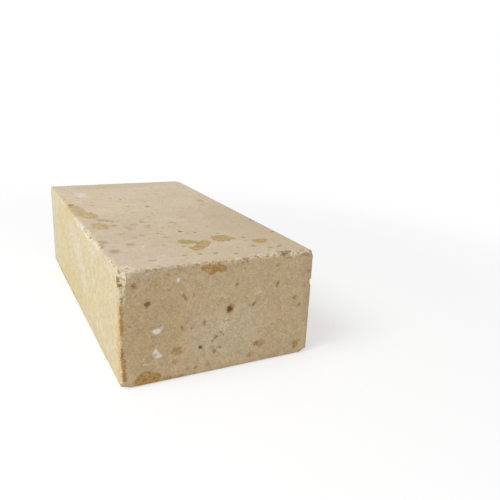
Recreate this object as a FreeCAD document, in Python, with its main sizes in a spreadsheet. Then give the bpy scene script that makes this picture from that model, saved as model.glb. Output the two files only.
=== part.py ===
"""A fired refractory brick of the 230 x 114 x 65 mm format, one dense pressed block.

It lies on its bed face, as on a level floor. Z is up, Y runs along the brick's length with the near header at
-Y, and X runs across its width with the yellow-skinned stretcher at -X. The origin is the middle of the bed
face that it lies on. All sizes are in millimetres.

The block is a plain pad with worn arrises. The uprights, where a stretcher meets a header, are rounded more
than the arrises round the two bed faces. Handling has knocked chips out of five corners and three arrises.
A chip in such a coarse-grained body is a shallow scoop with a sharp rim, so each is cut by an ellipsoid whose
centre lies outside the brick, and is sized by how far it reaches from the unworn corner along each edge.
"""

import FreeCAD
import Part
import Sketcher

import math
import os

# The driving dimensions, as the alias of each cell, its value and what it measures.
SIZES = (
    ("brick_width", 114.0, "across the header, along X"),
    ("brick_length", 230.0, "along the stretcher, Y"),
    ("brick_thickness", 65.0, "from bed face to bed face, Z"),
    ("upright_radius", 1.6, "rounding of the four upright arrises"),
    ("bed_radius", 1.4, "rounding of the arrises round both bed faces"),
    ("chip_outset", 0.35, "how far outside an edge a chip's centre lies, as a share of the scoop's radius"),
    ("near_left_top_width", 4.0, "crumbled near left corner, top: its reach along X"),
    ("near_left_top_depth", 5.0, "its reach along Y"),
    ("near_left_top_drop", 16.0, "its reach down the upright"),
    ("near_left_foot_width", 6.0, "near left corner, foot: reach along X"),
    ("near_left_foot_depth", 4.0, "reach along Y"),
    ("near_left_foot_rise", 4.0, "reach up the upright"),
    ("near_right_top_width", 2.6, "near right corner, top: reach along X"),
    ("near_right_top_depth", 3.0, "reach along Y"),
    ("near_right_top_drop", 4.2, "reach down the upright"),
    ("near_right_foot_width", 5.5, "near right corner, foot: reach along X"),
    ("near_right_foot_depth", 3.5, "reach along Y"),
    ("near_right_foot_rise", 2.8, "reach up the upright"),
    ("far_right_top_width", 4.0, "far right corner, top: reach along X"),
    ("far_right_top_depth", 8.0, "reach along Y"),
    ("far_right_top_drop", 3.0, "reach down the upright"),
    ("header_spall_from_right", 18.5, "spall on the near header's top arris: its middle from the right face"),
    ("header_spall_half_length", 5.5, "half its length along the arris"),
    ("header_spall_depth", 2.0, "its reach along Y on the bed face"),
    ("header_spall_drop", 2.2, "its reach down the header"),
    ("upright_nick_height", 45.5, "nick in the near right upright: its middle above the floor"),
    ("upright_nick_half_length", 3.0, "half its length along the upright"),
    ("upright_nick_width", 1.8, "its reach along X on the header"),
    ("upright_nick_depth", 2.4, "its reach along Y on the stretcher"),
    ("stretcher_spall_from_near", 76.0, "spall on the left top arris: its middle from the near header"),
    ("stretcher_spall_half_length", 26.0, "half its length along the arris"),
    ("stretcher_spall_width", 1.8, "its reach along X on the bed face"),
    ("stretcher_spall_drop", 2.8, "its reach down the stretcher"),
)

# The way each corner faces, as the sign of X, of Y and of Z.
CORNER_CHIPS = (
    ("near_left_top", -1, -1, 1),
    ("near_left_foot", -1, -1, -1),
    ("near_right_top", 1, -1, 1),
    ("near_right_foot", 1, -1, -1),
    ("far_right_top", 1, 1, 1),
)

# What a corner chip's reach up or down the upright is called, at the top and at the foot.
UPRIGHT_REACH = {1: "drop", -1: "rise"}


def make_sheet(doc):
    """The spreadsheet of driving dimensions, with an alias on each value's cell."""
    sheet = doc.addObject("Spreadsheet::Sheet", "Sizes")
    for row, (alias, value, meaning) in enumerate(SIZES, start=1):
        sheet.set(f"A{row}", alias)
        sheet.set(f"B{row}", str(value))
        sheet.set(f"C{row}", meaning)
        sheet.setAlias(f"B{row}", alias)
    doc.recompute()
    return sheet


def make_outline(body):
    """The bed face's outline: a rectangle centred on the origin, with its two sizes tied to the sheet."""
    sketch = body.newObject("Sketcher::SketchObject", "BedOutline")
    plane = next(f for f in body.Origin.OriginFeatures if f.Role == "XY_Plane")
    sketch.AttachmentSupport = [(plane, "")]
    sketch.MapMode = "FlatFace"
    half = 50.0
    corners = [FreeCAD.Vector(x * half, y * half, 0) for x, y in ((-1, -1), (1, -1), (1, 1), (-1, 1))]
    for start, end in zip(corners, corners[1:] + corners[:1]):
        sketch.addGeometry(Part.LineSegment(start, end), False)
    near, right, far, left = range(4)
    start_point, end_point, origin_geometry, origin_point = 1, 2, -1, 1
    for first, second in ((near, right), (right, far), (far, left), (left, near)):
        sketch.addConstraint(Sketcher.Constraint("Coincident", first, end_point, second, start_point))
    for line in (near, far):
        sketch.addConstraint(Sketcher.Constraint("Horizontal", line))
    for line in (right, left):
        sketch.addConstraint(Sketcher.Constraint("Vertical", line))
    sketch.addConstraint(
        Sketcher.Constraint("Symmetric", near, start_point, far, start_point, origin_geometry, origin_point)
    )
    for name, kind, line, alias in (
        ("width", "DistanceX", near, "brick_width"),
        ("length", "DistanceY", right, "brick_length"),
    ):
        index = sketch.addConstraint(Sketcher.Constraint(kind, line, start_point, line, end_point, 2 * half))
        sketch.renameConstraint(index, name)
        sketch.setExpression(f"Constraints.{name}", f"Sizes.{alias}")
    return sketch


def make_block(body, sketch):
    """The pressed block, before any wear."""
    pad = body.newObject("PartDesign::Pad", "PressedBlock")
    pad.Profile = sketch
    pad.setExpression("Length", "Sizes.brick_thickness")
    sketch.Visibility = False
    return pad


def edge_names(shape, wanted):
    """Names of the edges of a shape for which wanted(edge) is true."""
    return [f"Edge{n}" for n, edge in enumerate(shape.Edges, start=1) if wanted(edge)]


def is_upright(edge):
    first, last = (v.Point for v in (edge.Vertexes[0], edge.Vertexes[-1]))
    return math.hypot(first.x - last.x, first.y - last.y) < 1e-6 < abs(first.z - last.z)


def round_edges(body, base, name, wanted, alias):
    """A fillet on the edges of the last feature that wanted() picks, with its radius from the sheet."""
    body.Document.recompute()
    fillet = body.newObject("PartDesign::Fillet", name)
    fillet.Base = (base, edge_names(base.Shape, wanted))
    fillet.setExpression("Radius", f"Sizes.{alias}")
    return fillet


def round_arrises(body, block):
    """Rounds the four uprights first, and then the closed run of arrises round each bed face."""
    uprights = round_edges(body, block, "WornUprights", is_upright, "upright_radius")
    return round_edges(
        body,
        uprights,
        "WornBedArrises",
        lambda edge: edge.BoundBox.ZLength < 1e-6,
        "bed_radius",
    )


# A scoop's reach along an edge, as a share of its radius that way. At a corner its centre lies outside two
# other faces as well as the face that the edge leaves, and at an arris outside one other.
CORNER_SHARE = "(sqrt(1 - 2 * Sizes.chip_outset ^ 2) - Sizes.chip_outset)"
ARRIS_SHARE = "(sqrt(1 - Sizes.chip_outset ^ 2) - Sizes.chip_outset)"
ARRIS_LENGTH_SHARE = "sqrt(1 - 2 * Sizes.chip_outset ^ 2)"

# The outer face that a scoop lies beyond, for the sign of each axis.
FACES = {
    ("x", 1): "Sizes.brick_width / 2",
    ("x", -1): "-Sizes.brick_width / 2",
    ("y", 1): "Sizes.brick_length / 2",
    ("y", -1): "-Sizes.brick_length / 2",
    ("z", 1): "Sizes.brick_thickness",
    ("z", -1): "0",
}

RADIUS_OF_AXIS = {"z": "Radius1", "x": "Radius2", "y": "Radius3"}


def scoop(body, name, radii, centre):
    """An ellipsoid cut out of the body. Radii and centre are one expression each for x, y and z."""
    chip = body.newObject("PartDesign::SubtractiveEllipsoid", name)
    plane = next(f for f in body.Origin.OriginFeatures if f.Role == "XY_Plane")
    chip.AttachmentSupport = [(plane, "")]
    chip.MapMode = "FlatFace"
    for axis, expression in radii.items():
        chip.setExpression(RADIUS_OF_AXIS[axis], f"({expression}) * 1 mm")
    for axis, expression in centre.items():
        chip.setExpression(f"AttachmentOffset.Base.{axis}", f"({expression}) * 1 mm")
    return chip


def beyond(axis, sign, radius):
    """The place of a scoop's centre along an axis, when it lies outside that face."""
    return f"{FACES[axis, sign]} + ({sign}) * Sizes.chip_outset * {radius}"


def corner_chip(body, corner, signs):
    """A chip that takes a corner off, with its reach along all three edges from the sheet."""
    side_x, side_y, side_z = signs
    reaches = {"x": "width", "y": "depth", "z": UPRIGHT_REACH[side_z]}
    radii = {axis: f"(Sizes.{corner}_{reach} / {CORNER_SHARE})" for axis, reach in reaches.items()}
    centre = {axis: beyond(axis, sign, radii[axis]) for axis, sign in zip("xyz", (side_x, side_y, side_z))}
    name = "".join(word.capitalize() for word in corner.split("_")) + "Chip"
    return scoop(body, name, radii, centre)


def arris_chip(body, name, prefix, along, middle, across):
    """A chip part way along an arris. along is the arris's axis, middle its place there, and across has the
    sign of the face and the name of the reach for each of the other two axes."""
    radii = {along: f"(Sizes.{prefix}_half_length / {ARRIS_LENGTH_SHARE})"}
    centre = {along: middle}
    for axis, (sign, reach) in across.items():
        radii[axis] = f"(Sizes.{prefix}_{reach} / {ARRIS_SHARE})"
        centre[axis] = beyond(axis, sign, radii[axis])
    return scoop(body, name, radii, centre)


def knock_chips(body):
    """The chips, each from the undamaged block's sizes, so that they stay where they are when it changes."""
    for corner, *signs in CORNER_CHIPS:
        corner_chip(body, corner, signs)
    arris_chip(
        body,
        "HeaderTopSpall",
        "header_spall",
        "x",
        "Sizes.brick_width / 2 - Sizes.header_spall_from_right",
        {"y": (-1, "depth"), "z": (1, "drop")},
    )
    arris_chip(
        body,
        "UprightNick",
        "upright_nick",
        "z",
        "Sizes.upright_nick_height",
        {"x": (1, "width"), "y": (-1, "depth")},
    )
    arris_chip(
        body,
        "StretcherTopSpall",
        "stretcher_spall",
        "y",
        "-Sizes.brick_length / 2 + Sizes.stretcher_spall_from_near",
        {"x": (-1, "width"), "z": (1, "drop")},
    )


def make_brick(doc):
    body = doc.addObject("PartDesign::Body", "Firebrick")
    body.Label = "firebrick"
    outline = make_outline(body)
    block = make_block(body, outline)
    round_arrises(body, block)
    doc.recompute()
    knock_chips(body)
    return body


def check(doc, parts):
    """Stops if an object failed to compute, or a part isn't one closed valid solid."""
    for thing in doc.Objects:
        if {"Invalid", "Error"} & set(thing.State):
            raise RuntimeError(f"{thing.Name} failed: {thing.State}")
    for part in parts:
        if part.Shape.isNull() or not part.Shape.isValid() or len(part.Shape.Solids) != 1:
            raise RuntimeError(f"{part.Label} isn't one valid solid")


def main():
    doc = FreeCAD.newDocument("RefractoryFirebrick")
    make_sheet(doc)
    parts = [make_brick(doc)]
    doc.recompute()
    check(doc, parts)
    os.makedirs("parts", exist_ok=True)
    for part in parts:
        part.Shape.exportStep(f"parts/{part.Label}.step")
        box = part.Shape.optimalBoundingBox(False)
        print(
            f"{part.Label}: {box.XLength:.2f} x {box.YLength:.2f} x {box.ZLength:.2f} mm, "
            f"{part.Shape.Volume / 1000:.1f} cm3, {len(part.Shape.Faces)} faces"
        )


main()
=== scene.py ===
"""Looks of a fired refractory brick, one dense pressed block of coarse cream body.

The brick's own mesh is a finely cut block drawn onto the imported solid, so that it keeps the worn arrises and
the chips, and then given the relief that firing and handling leave: grain, gaps between grains at the
arrises, pits. Marks on the faces (iron spots, ochre stains, quartz grains) are listed in millimetres on
their face. Each vertex keeps how far it lies inside a mark, and the finish turns that into a crisp, ragged
patch.

Millimetres are used for everything on the brick. The scene's metres come last.
"""

import math

import bmesh
import bpy
from mathutils import Matrix, Vector, kdtree, noise
from mathutils.bvhtree import BVHTree


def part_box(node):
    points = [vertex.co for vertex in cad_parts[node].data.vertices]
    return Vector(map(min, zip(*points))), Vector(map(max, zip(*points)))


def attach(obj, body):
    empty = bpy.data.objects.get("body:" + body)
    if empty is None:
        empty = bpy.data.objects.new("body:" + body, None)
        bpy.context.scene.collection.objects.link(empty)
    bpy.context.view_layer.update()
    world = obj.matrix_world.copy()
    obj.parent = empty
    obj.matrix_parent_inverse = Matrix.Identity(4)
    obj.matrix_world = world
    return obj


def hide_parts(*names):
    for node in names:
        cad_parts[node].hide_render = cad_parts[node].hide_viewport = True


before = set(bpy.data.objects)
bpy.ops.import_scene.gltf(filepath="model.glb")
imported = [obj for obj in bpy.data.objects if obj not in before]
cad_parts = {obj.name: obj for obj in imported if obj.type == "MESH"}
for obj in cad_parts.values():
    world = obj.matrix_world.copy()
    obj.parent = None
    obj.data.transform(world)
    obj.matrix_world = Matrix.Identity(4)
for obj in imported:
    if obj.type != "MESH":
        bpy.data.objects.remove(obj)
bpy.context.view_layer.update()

MARK_SEED = 3  # the draw of the marks' wavy outlines
noise.seed_set(MARK_SEED)

MM = 0.001
LOW, HIGH = (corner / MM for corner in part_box("firebrick"))
SIZE = HIGH - LOW

# Camera, as fitted to the brick's edges in the photograph, which is 500 x 500. Its place is in metres.
CAMERA_PLACE = (-0.1161, -0.3615, 0.1564)
CAMERA_YAW = 27.94
CAMERA_PITCH = 17.27
CAMERA_ROLL = 2.74
CAMERA_LENS = 38.81
CAMERA_NEAREST = 0.01

# Light and stage, in metres and watts.
LAMP_PLACE = Vector((-0.66, -0.20, 0.84))
LAMP_AIM = Vector((0, 0, 0.03))
LAMP_SIZE = 0.7
LAMP_POWER = 7.3
ROOM_STRENGTH = 0.55
FLOOR_RADIUS = 4.0
FLOOR_SEGMENTS = 96
FLOOR_PAINT = (0.86, 0.86, 0.86)
FLOOR_LIFT = 0.5  # the share of white that the floor has under the brick, as the camera sees it
FLOOR_WHITENS = (0.18, 0.5)  # where the floor starts to whiten, and where it is all white
WHITE = (1.0, 1.0, 1.0)


def make_camera():
    yaw, pitch, roll = (math.radians(a) for a in (CAMERA_YAW, CAMERA_PITCH, CAMERA_ROLL))
    ahead = Vector((math.sin(yaw) * math.cos(pitch), math.cos(yaw) * math.cos(pitch), -math.sin(pitch)))
    level = Vector((math.cos(yaw), -math.sin(yaw), 0))
    above = level.cross(ahead)
    right = level * math.cos(roll) + above * math.sin(roll)
    up = right.cross(ahead)
    data = bpy.data.cameras.new("camera")
    data.lens = CAMERA_LENS
    data.clip_start = CAMERA_NEAREST
    camera = bpy.data.objects.new("camera", data)
    turned = Matrix((right, up, -ahead)).transposed().to_4x4()
    camera.matrix_world = Matrix.Translation(CAMERA_PLACE) @ turned
    bpy.context.scene.collection.objects.link(camera)
    bpy.context.scene.camera = camera


# The faces with marks, each as the axis it faces, the side of it, and the axes that u and v run along. On
# every face u and v are millimetres from the brick's low corner: from the yellow stretcher, the near header
# or the floor.
X, Y, Z = range(3)
NEAR_HEADER = (Y, -1, X, Z)
UPPER_BED = (Z, 1, X, Y)
LOWER_BED = (Z, -1, X, Y)
YELLOW_STRETCHER = (X, -1, Y, Z)
PLAIN_STRETCHER = (X, 1, Y, Z)

# How worn each arris is, from 0 to 1, under the two faces that meet there. Any other arris has ARRIS_WEAR.
ARRIS_WEAR = 0.3
WORN_ARRISES = {
    frozenset((NEAR_HEADER[:2], UPPER_BED[:2])): 0.42,
    frozenset((YELLOW_STRETCHER[:2], UPPER_BED[:2])): 0.28,
    frozenset((NEAR_HEADER[:2], YELLOW_STRETCHER[:2])): 0.15,
    frozenset((NEAR_HEADER[:2], PLAIN_STRETCHER[:2])): 0.15,
    frozenset((NEAR_HEADER[:2], LOWER_BED[:2])): 0.4,
}

# What a mark looks like: its colour, how strongly it covers, how soft and how ragged its rim is, and how deep
# it is pitted, all but the first two in millimetres. For a scar the last is how broken the body is, from 0
# to 1.
# The first cast is painted shade, darkening the left part of the near header.
LEFT_SHADE_CAST = ((0.525, 0.39, 0.218), 0.8, 9.0, 5.0, 0.0)
GREY_CAST = ((0.61, 0.49, 0.325), 0.8, 7.0, 5.0, 0.0)
RED_CAST = ((0.54, 0.38, 0.235), 0.6, 4.0, 4.0, 0.0)
# This cast is painted shade, darkening the right of the upper bed's near half.
NEAR_RIGHT_SHADE_CAST = ((0.55, 0.445, 0.295), 0.6, 16.0, 6.0, 0.0)
PINK_CAST = ((0.60, 0.49, 0.375), 0.7, 9.0, 6.0, 0.0)
# This cast is a painted sheen.
PALE_SHEEN_CAST = ((0.77, 0.70, 0.65), 0.65, 4.0, 6.0, 0.0)
OLIVE_CAST = ((0.57, 0.485, 0.32), 0.7, 8.0, 6.0, 0.0)
GOLD_CAST = ((0.67, 0.56, 0.30), 0.7, 6.0, 6.0, 0.0)
BLUSH_CAST = ((0.715, 0.63, 0.505), 0.65, 4.5, 11.0, 0.0)
GREY_SKIN = ((0.66, 0.61, 0.48), 0.6, 9.0, 6.0, 0.0)

OCHRE = ((0.453, 0.278, 0.092), 0.95, 0.6, 0.8, 0.05)
OCHRE_DOT = ((0.468, 0.305, 0.128), 0.9, 0.7, 0.8, 0.05)
OCHRE_PALE = ((0.462, 0.33, 0.127), 0.92, 1.0, 1.3, 0.0)
SKIN_ORANGE = ((0.66, 0.475, 0.235), 0.65, 2.0, 2.0, 0.0)
GOLDEN_RUB = ((0.62, 0.42, 0.22), 0.6, 0.9, 1.2, 0.0)
OCHRE_FAINT = ((0.50, 0.385, 0.19), 0.85, 1.1, 1.6, 0.0)
ORANGE = ((0.47, 0.27, 0.11), 0.95, 0.8, 0.7, 0.05)
OLIVE = ((0.41, 0.335, 0.14), 0.85, 1.2, 1.2, 0.0)
OLIVE_FAINT = ((0.44, 0.365, 0.20), 0.75, 1.3, 1.4, 0.0)
ARRIS_OLIVE = ((0.45, 0.365, 0.19), 0.6, 0.9, 1.3, 0.0)
TAN_HALO = ((0.45, 0.32, 0.185), 0.6, 0.9, 0.8, 0.0)
GREY_OLIVE = ((0.46, 0.38, 0.25), 0.55, 1.0, 1.2, 0.0)
RUST_HALO = ((0.45, 0.27, 0.14), 0.7, 1.0, 0.5, 0.0)
REDDISH = ((0.43, 0.26, 0.16), 0.6, 0.8, 0.7, 0.05)
LILAC = ((0.48, 0.41, 0.36), 0.65, 1.1, 0.8, 0.0)

IRON = ((0.165, 0.062, 0.012), 1.0, 1.1, 0.3, 0.12)
DARK_BROWN = ((0.20, 0.118, 0.038), 0.9, 0.5, 0.6, 0.2)
BROWN = ((0.285, 0.172, 0.075), 0.75, 0.7, 0.6, 0.1)
FAINT_BROWN = ((0.36, 0.24, 0.125), 0.6, 0.7, 0.6, 0.0)
PIT = ((0.165, 0.108, 0.048), 0.9, 0.5, 0.4, 0.35)
SHALLOW_PIT = ((0.28, 0.185, 0.092), 0.7, 0.6, 0.5, 0.1)
BED_PIT = ((0.32, 0.25, 0.14), 0.7, 0.6, 0.6, 0.1)
OCHRE_SPECK = ((0.33, 0.185, 0.045), 0.75, 0.7, 0.6, 0.0)
PALE_GRAIN = ((0.78, 0.68, 0.52), 0.55, 0.5, 0.5, 0.0)
WHITE_GRAIN = ((0.85, 0.83, 0.80), 0.8, 0.3, 0.3, 0.0)
OLIVE_NICK = ((0.27, 0.21, 0.105), 0.75, 0.5, 0.9, 0.1)
EDGE_OCHRE = ((0.37, 0.22, 0.07), 0.95, 0.5, 0.7, 0.1)
EDGE_BROWN = ((0.38, 0.225, 0.078), 0.9, 0.6, 1.1, 0.1)
EDGE_RED = ((0.27, 0.15, 0.07), 0.95, 0.5, 0.9, 0.1)
# The left arris's orange stain, painted brighter as a highlight where the rounded arris catches the light.
ORANGE_EDGE_HIGHLIGHT = ((0.80, 0.52, 0.22), 0.85, 0.4, 0.5, 0.0)

FRESH = ((0.75, 0.65, 0.495), 0.7, 1.0, 1.4, 0.6)
BROKEN = ((0.60, 0.49, 0.34), 0.35, 0.9, 1.4, 0.6)
WORN_GREY = ((0.575, 0.475, 0.35), 0.6, 0.9, 1.4, 0.55)
PALE_GRIT = ((0.70, 0.595, 0.43), 0.6, 0.9, 1.6, 0.9)
GREY_GRIT = ((0.56, 0.475, 0.36), 0.55, 1.2, 1.4, 0.35)
OLIVE_GRIT = ((0.38, 0.325, 0.20), 0.65, 0.8, 1.2, 0.9)
RUBBED = ((0.735, 0.66, 0.555), 0.75, 1.2, 1.6, 0.1)

# Round marks on each face: kind, middle u, v, half sizes along u and v, turn in degrees. Wide faint casts come
# first, most of them tints of the body and some of them painted shade and sheen as marked, then stains, then
# spots over the stains, then scars, where the body is broken.
CASTS = {
    NEAR_HEADER: (
        # Painted shade over the left part of the near header.
        (LEFT_SHADE_CAST, 14.0, 39.0, 19.0, 29.0, 0),
        (RED_CAST, 28.0, 61.0, 8.0, 4.0, 0),
        (GREY_CAST, 62.0, 22.0, 20.0, 14.0, 15),
        # Painted shade on the rounded right arris of the near header.
        (RED_CAST, 111.0, 46.0, 3.0, 22.0, 0),
    ),
    UPPER_BED: (
        # Painted shade over the right of the upper bed's near half.
        (NEAR_RIGHT_SHADE_CAST, 104.0, 60.0, 20.0, 70.0, 0),
        (PINK_CAST, 14.0, 24.0, 22.0, 26.0, 0),
        # Painted sheen at the far left of the upper bed.
        (PALE_SHEEN_CAST, 17.4, 186.5, 3.0, 7.0, 0),
        (OLIVE_CAST, 36.0, 216.0, 16.0, 8.0, 0),
        (OLIVE_CAST, 98.0, 94.0, 8.0, 10.0, 0),
    ),
    YELLOW_STRETCHER: (
        (GOLD_CAST, 140.0, 12.0, 40.0, 9.0, 0),
        (GOLD_CAST, 142.0, 62.0, 30.0, 4.0, 0),
        (GOLD_CAST, 6.0, 20.0, 6.0, 14.0, 0),
        (GOLD_CAST, 176.0, 48.0, 16.0, 10.0, 0),
        (BLUSH_CAST, 120.0, 48.0, 22.0, 8.0, 15),
        (BLUSH_CAST, 98.0, 32.0, 16.0, 7.0, 40),
        (BLUSH_CAST, 62.0, 58.0, 10.0, 4.0, 0),
        (GREY_SKIN, 222.0, 34.0, 16.0, 34.0, 0),
    ),
}
STAINS = {
    NEAR_HEADER: (
        (OCHRE, 48.1, 62.2, 2.9, 2.2, 0),
        (ORANGE, 49.4, 60.8, 2.3, 2.5, 0),
        (OCHRE, 54.2, 61.2, 4.0, 2.1, -14),
        (OCHRE_DOT, 51.5, 64.2, 5.5, 1.4, 0),
        (OCHRE, 14.0, 3.2, 7.2, 5.2, 0),
        (OCHRE, 11.4, 5.8, 2.8, 2.4, 0),
        (OCHRE_DOT, 30.2, 16.5, 3.0, 2.7, 0),
        (REDDISH, 29.2, 10.9, 1.3, 1.0, 0),
        (RUST_HALO, 60.8, 36.8, 2.2, 2.5, 0),
        (REDDISH, 7.5, 57.3, 1.5, 1.5, 0),
        (TAN_HALO, 80.4, 12.0, 3.6, 2.3, 0),
        (OLIVE, 101.9, 37.2, 1.5, 1.2, 0),
        (OCHRE_PALE, 106.0, 6.8, 1.9, 2.8, -30),
        (OCHRE, 105.0, 5.2, 1.2, 1.6, 0),
        (OCHRE_PALE, 74.5, 5.4, 1.2, 0.9, 0),
        (REDDISH, 45.8, 31.2, 1.0, 1.4, 0),
        (REDDISH, 48.1, 5.0, 1.0, 0.9, 0),
        (LILAC, 37.5, 35.0, 1.4, 1.7, 0),
        (LILAC, 50.4, 15.0, 1.5, 1.3, 0),
        (GREY_OLIVE, 15.5, 33.4, 2.2, 0.8, 0),
        (GREY_OLIVE, 22.0, 33.2, 1.6, 1.1, 30),
        (OLIVE, 3.6, 61.0, 1.2, 2.8, 0),
    ),
    UPPER_BED: (
        (OCHRE_PALE, 73.0, 40.4, 6.8, 6.6, 0),
        (OCHRE_PALE, 58.2, 33.4, 4.0, 6.4, -25),
        (OCHRE_PALE, 51.8, 27.2, 4.6, 4.0, 0),
        (OLIVE, 49.8, 40.4, 4.2, 4.0, 0),
        (OLIVE, 54.4, 37.6, 2.6, 2.0, 0),
        (OCHRE_PALE, 93.5, 29.0, 4.4, 3.8, 0),
        (REDDISH, 84.2, 19.8, 2.2, 1.5, 0),
        (OLIVE_FAINT, 18.6, 44.8, 2.2, 2.6, 0),
        (OLIVE_FAINT, 7.0, 34.6, 2.8, 3.2, 0),
        (OLIVE_FAINT, 4.0, 54.4, 2.4, 3.8, 0),
        (OCHRE_PALE, 1.8, 46.9, 1.5, 3.4, 0),
        (OCHRE_FAINT, 9.6, 119.0, 5.6, 9.2, 0),
        (OCHRE_FAINT, 11.0, 89.0, 4.2, 8.0, 12),
        (OLIVE_FAINT, 18.6, 88.6, 2.4, 1.8, -20),
        (OLIVE_FAINT, 15.8, 103.5, 6.4, 2.4, -48),
        (OCHRE_FAINT, 6.6, 136.0, 3.8, 13.0, 0),
        (TAN_HALO, 2.8, 137.0, 2.6, 15.0, 0),
        (LILAC, 57.1, 84.4, 2.0, 3.4, 0),
        (GREY_OLIVE, 38.6, 92.5, 2.0, 3.0, 0),
        (GREY_OLIVE, 38.3, 79.4, 2.0, 3.0, 0),
        (GREY_OLIVE, 26.5, 78.8, 2.0, 3.4, 0),
        (GREY_OLIVE, 31.8, 86.9, 1.6, 2.0, 0),
        (GREY_OLIVE, 68.0, 97.0, 2.4, 2.8, 0),
        (GREY_OLIVE, 29.3, 60.6, 1.6, 2.6, 0),
        (GREY_OLIVE, 24.5, 58.5, 1.6, 2.4, 0),
        (GREY_OLIVE, 42.0, 60.3, 1.3, 1.9, 0),
        (GREY_OLIVE, 18.0, 67.0, 2.2, 1.8, 0),
        (GREY_OLIVE, 100.5, 143.0, 2.6, 5.0, 0),
        (OLIVE_FAINT, 112.0, 75.0, 3.0, 2.4, 0),
    ),
}
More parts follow.
